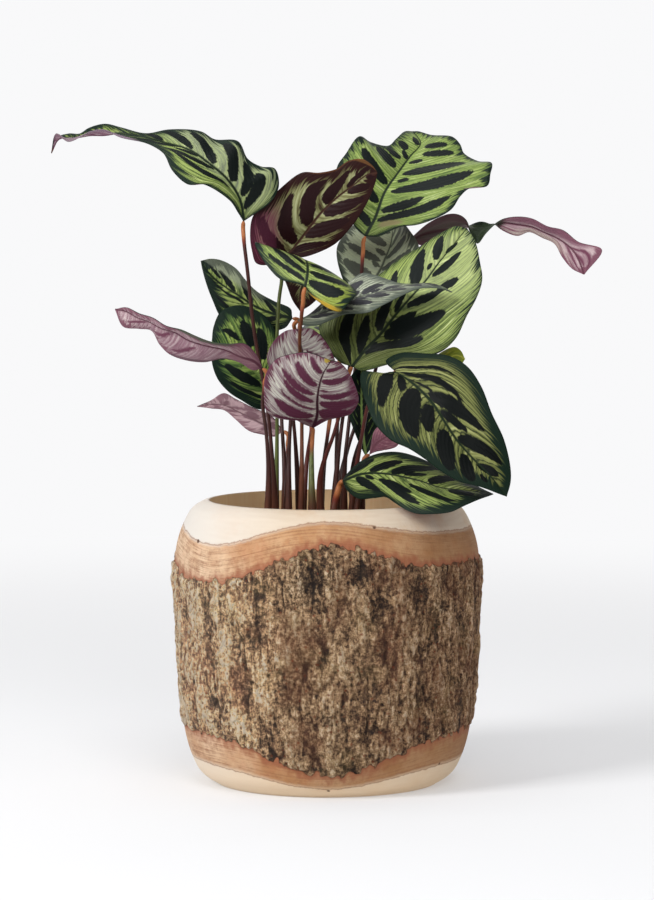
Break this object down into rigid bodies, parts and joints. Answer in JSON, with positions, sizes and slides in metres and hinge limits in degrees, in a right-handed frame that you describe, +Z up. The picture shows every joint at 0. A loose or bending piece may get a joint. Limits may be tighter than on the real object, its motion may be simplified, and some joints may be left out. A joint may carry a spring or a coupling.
{
  "type": "potted calathea",
  "caption": "House plant with peacock-patterned oval leaves on long stalks, growing in a turned wooden pot that keeps a band of bark.",
  "frame": {"origin": "centre of the pot's flat base, where it stands", "axes": "+Z up along the axis of the pot, -Y towards the viewer of the picture, +X to the right"},
  "size_m": [0.2863, 0.1825, 0.3411],
  "materials": {
    "pot_wood": "turned log: furrowed grey-brown bark band, orange-brown inner bark, cream sapwood at the rim and foot, satin",
    "soil": "moist peat potting mix, matt and crumbly",
    "leaf_blade": "satin leaf: pale green with dark green blotches and margin above, purple below",
    "petiole": "satin dark red-brown stalk, orange-red below the blade, papery sheath at the foot"
  },
  "bodies": {
    "root": {"pot": "pot_wood", "soil": "soil", "leaf_01_blade": "leaf_blade", "leaf_01_stem": "petiole", "leaf_02_blade": "leaf_blade", "leaf_02_stem": "petiole", "leaf_03_blade": "leaf_blade", "leaf_03_stem": "petiole", "leaf_04_blade": "leaf_blade", "leaf_04_stem": "petiole", "leaf_05_blade": "leaf_blade", "leaf_05_stem": "petiole", "leaf_06_blade": "leaf_blade", "leaf_06_stem": "petiole", "leaf_07_blade": "leaf_blade", "leaf_07_stem": "petiole", "leaf_08_blade": "leaf_blade", "leaf_08_stem": "petiole", "leaf_09_blade": "leaf_blade", "leaf_09_stem": "petiole", "leaf_10_blade": "leaf_blade", "leaf_10_stem": "petiole", "leaf_11_blade": "leaf_blade", "leaf_11_stem": "petiole", "leaf_12_blade": "leaf_blade", "leaf_12_stem": "petiole", "leaf_13_blade": "leaf_blade", "leaf_13_stem": "petiole", "leaf_14_blade": "leaf_blade", "leaf_14_stem": "petiole", "leaf_15_blade": "leaf_blade", "leaf_15_stem": "petiole", "leaf_16_blade": "leaf_blade", "leaf_16_stem": "petiole", "leaf_17_blade": "leaf_blade", "leaf_17_stem": "petiole", "leaf_18_blade": "leaf_blade", "leaf_18_stem": "petiole", "leaf_19_blade": "leaf_blade", "leaf_19_stem": "petiole", "leaf_20_blade": "leaf_blade", "leaf_20_stem": "petiole", "leaf_21_blade": "leaf_blade", "leaf_21_stem": "petiole", "leaf_22_blade": "leaf_blade", "leaf_22_stem": "petiole"}
  },
  "joints": []
}
